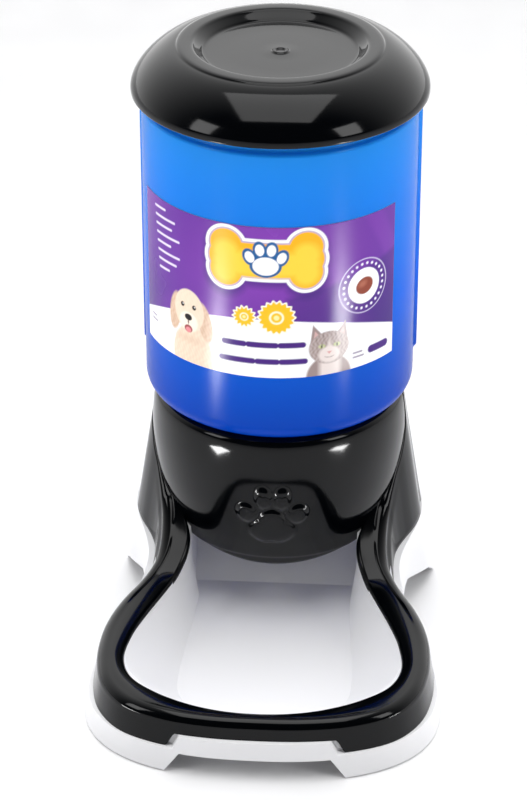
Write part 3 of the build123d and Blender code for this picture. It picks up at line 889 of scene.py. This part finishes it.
hoodValues = {
    "profile": [(58.6, 120.2), (61.4, 119.9), (63.6, 118.6), (64.7, 116.4), (65.6, 111.0), (66.2, 102.0),
                (66.1, 92.0), (65.2, 80.0), (63.6, 69.0), (61.4, 59.0), (59.0, 51.0), (57.6, 47.0),
                (56.6, 45.6), (55.2, 42.0), (54.0, 38.6)],
    "profileSamples": 400,
    "topZ": 120.2,
    "lipZ": 40.5,
    "lipRadius": 54.0,
    "footSoft": 0.6,
    "bow": 132.0,
    "wall": 2.4,
    "reach": 84.0,
    "pawHeight": 1.7,
    "pad": (0.4, 67.6, 11.6, 10.4),
    "toes": ((-12.6, 77.0, 4.6, 5.6, 22), (-4.0, 86.6, 4.0, 6.0, 6), (5.6, 86.6, 4.0, 6.0, -6),
             (13.6, 77.0, 4.6, 5.6, -22)),
    "columns": 300,
    "rows": 170,
    "rowSpread": 0.85,
    "innerEvery": 6,
}


def pawHeight(x, z):
    # How far the paw stands out: an eased step of the distance inside its ovals
    v = hoodValues

    def raised(distance):
        return ease(0.5 - distance / 3.0) * (0.75 + 0.25 * ease(-distance / 4.0))

    cu, cv, ru, rv = v["pad"]
    low = ellipse(x, z, cu, cv - 1.0, ru, rv * 0.82)
    high = ellipse(x, z, cu, cv + 3.5, ru * 0.62, rv * 0.8)
    notch = ellipse(x, z, cu, cv - rv - 0.5, 3.4, 2.6)
    height = raised(np.minimum(low, high)) * (1 - 0.9 * raised(notch))
    for cu, cv, ru, rv, turn in v["toes"]:
        height = np.maximum(height, raised(ellipse(x, z, cu, cv, ru, rv, turn)))
    return height * v["pawHeight"]


def makeHoodFront():
    # The radius is the profile read at each height, plus the paw, over an angle about the axis
    v = hoodValues
    profile = curveThrough(v["profile"], v["profileSamples"])
    heights, radii = profile[::-1, 1], profile[::-1, 0]
    angle = np.radians(np.linspace(-v["reach"], v["reach"], v["columns"]))
    share = np.linspace(0, 1, v["rows"]) ** v["rowSpread"]
    # The lower edge is an arc across the front, so each column starts at its own height
    side = v["lipRadius"] * np.sin(angle)
    foot = v["lipZ"] + v["bow"] - np.sqrt(v["bow"] ** 2 - side ** 2)
    z = foot[None, :] + (v["topZ"] - foot)[None, :] * share[:, None]
    radius = np.interp(z, heights, radii)
    x = radius * np.sin(angle)[None, :]
    outer = radius + pawHeight(x, z)
    innerRadius = radius - v["wall"]
    outer[0] -= v["footSoft"]
    outer[1] -= 0.2 * v["footSoft"]

    def place(r, height):
        return np.stack([r * np.sin(angle)[None, :], -r * np.cos(angle)[None, :], height], -1)

    every = v["innerEvery"]
    loop = np.concatenate([place(outer, z), place(innerRadius[::-1][::every], z[::-1][::every])], 0)
    rows, cols = loop.shape[:2]
    quads = [gridQuads(rows, cols, closeRows=True)]
    points = loop.reshape(-1, 3)
    # Each end is closed with a fan round its middle
    middleA, middleB = len(points), len(points) + 1
    ends = loop.mean(0)
    points = np.vstack([points, ends[0], ends[-1]])
    r = np.arange(rows)
    r2 = (r + 1) % rows
    tris = [np.stack([0 * r + middleA, r * cols, r2 * cols], 1),
            np.stack([0 * r + middleB, r2 * cols + cols - 1, r * cols + cols - 1], 1)]
    hood = addMesh("hoodFront", points, np.vstack(quads), np.vstack(tris), "base", materials["black"])
    return hood


seatValues = {
    "profile": [(36.8, 101.0), (38.6, 101.0), (38.9, 104.8), (48.0, 111.4), (57.6, 117.6), (60.4, 117.6),
                (61.0, 118.2), (61.0, 119.4), (60.4, 120.0), (58.9, 120.4), (57.4, 120.3), (56.4, 119.9),
                (47.0, 113.4), (36.8, 106.4)],
    "turns": 360,
}


def makeHoodSeat():
    # Rounded top ring and the funnel that the reservoir stands in, turned round the axis
    profile, turns = np.array(seatValues["profile"]), seatValues["turns"]
    ring = revolve(profile, turns).reshape(-1, 3)
    seat = addMesh("hoodSeat", ring, gridQuads(len(profile), turns, True, True), None, "base",
                   materials["black"])
    return seat


makeCoverSweep()
makeHoodFront()
makeHoodSeat()
print("cover made")

# Finishes of the pieces that keep their own shape

nodeFinish = {
    "base_tray": "white",
    "front_left_foot_pad": "rubber",
    "front_right_foot_pad": "rubber",
    "rear_left_foot_pad": "rubber",
    "rear_right_foot_pad": "rubber",
    "cover_screws": "steel",
}
for nodeName, finish in nodeFinish.items():
    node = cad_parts[nodeName]
    node.data.materials.clear()
    node.data.materials.append(materials[finish])
print("finishes set")

# Floor, light and camera

studio = {
    "floorColour": (250, 250, 251),
    "floorHalf": 3.0,
    "floorGrain": (300.0, 0.05, 0.45, 0.6),
    "worldFront": 0.03,
    "worldBack": 1.9,
    "worldFrom": -0.45,
    "worldTo": 0.9,
    # Name, place, what it faces, width, height and power. The two cards low in front light
    # the curve of the hood.
    "lamps": (
        ("leftBox", (-0.8, -0.5, 0.6), (0, 0, 0.15), 0.3, 0.5, 2.4),
        ("rightBox", (0.8, -0.5, 0.6), (0, 0, 0.15), 0.3, 0.5, 2.4),
        ("topBox", (0.0, -0.2, 1.3), (0, -0.1, 0.0), 0.9, 0.9, 8.0),
        ("leftCard", (-0.27, -0.22, 0.004), (-0.27, -0.22, 1.0), 0.08, 0.1, 1.3),
        ("rightCard", (0.33, -0.2, 0.004), (0.33, -0.2, 1.0), 0.08, 0.1, 1.3),
    ),
    "cameraFromAxis": (0.0869, -1.3623, 0.880),
    "cameraTurn": (60.49, 0.0, 4.0),
    "lens": 135.0,
    "sensor": 36.0,
}


def makeStudio():
    mesh = bpy.data.meshes.new("floor")
    half = studio["floorHalf"]
    corners = [(-half, -half, floorZ), (half, -half, floorZ), (half, half, floorZ), (-half, half, floorZ)]
    mesh.from_pydata(corners, [], [(0, 1, 2, 3)])
    floor = bpy.data.objects.new("floor", mesh)
    bpy.context.scene.collection.objects.link(floor)
    material, tree, shader = newMaterial("floorPaper")
    shader.inputs["Base Color"].default_value = linear(*studio["floorColour"])
    fineGrain(tree, shader, *studio["floorGrain"])
    mesh.materials.append(material)
    world = bpy.data.worlds.new("studio")
    bpy.context.scene.world = world
    world.use_nodes = True
    tree = world.node_tree
    tree.nodes["Background"].inputs["Color"].default_value = (1, 1, 1, 1)
    # The room is brighter behind the object than on the viewer's side
    place = tree.nodes.new("ShaderNodeTexCoord")
    split = tree.nodes.new("ShaderNodeSeparateXYZ")
    spread = tree.nodes.new("ShaderNodeMapRange")
    spread.interpolation_type = "SMOOTHSTEP"
    spread.inputs["From Min"].default_value = studio["worldFrom"]
    spread.inputs["From Max"].default_value = studio["worldTo"]
    spread.inputs["To Min"].default_value = studio["worldFront"]
    spread.inputs["To Max"].default_value = studio["worldBack"]
    link(tree, place.outputs["Generated"], split.inputs["Vector"])
    link(tree, split.outputs["Y"], spread.inputs["Value"])
    link(tree, spread.outputs["Result"], tree.nodes["Background"].inputs["Strength"])

    def softbox(name, place, target, width, height, power):
        data = bpy.data.lights.new(name, "AREA")
        data.shape = "RECTANGLE"
        data.size, data.size_y, data.energy = width, height, power
        lamp = bpy.data.objects.new(name, data)
        lamp.location = place
        away = np.array(place) - np.array(target)
        yaw = math.atan2(away[0], -away[1])
        tilt = math.atan2(math.hypot(away[0], away[1]), away[2])
        lamp.rotation_euler = (tilt, 0, yaw)
        bpy.context.scene.collection.objects.link(lamp)

    for lamp in studio["lamps"]:
        softbox(*lamp)
    data = bpy.data.cameras.new("mainCamera")
    camera = bpy.data.objects.new("mainCamera", data)
    data.lens = studio["lens"]
    data.sensor_width = studio["sensor"]
    offset = studio["cameraFromAxis"]
    camera.location = (axisX + offset[0], axisY + offset[1], floorZ + offset[2])
    camera.rotation_euler = [math.radians(a) for a in studio["cameraTurn"]]
    bpy.context.scene.collection.objects.link(camera)
    bpy.context.scene.camera = camera
    bpy.context.scene.view_settings.view_transform = "Standard"


makeStudio()
print("studio made")
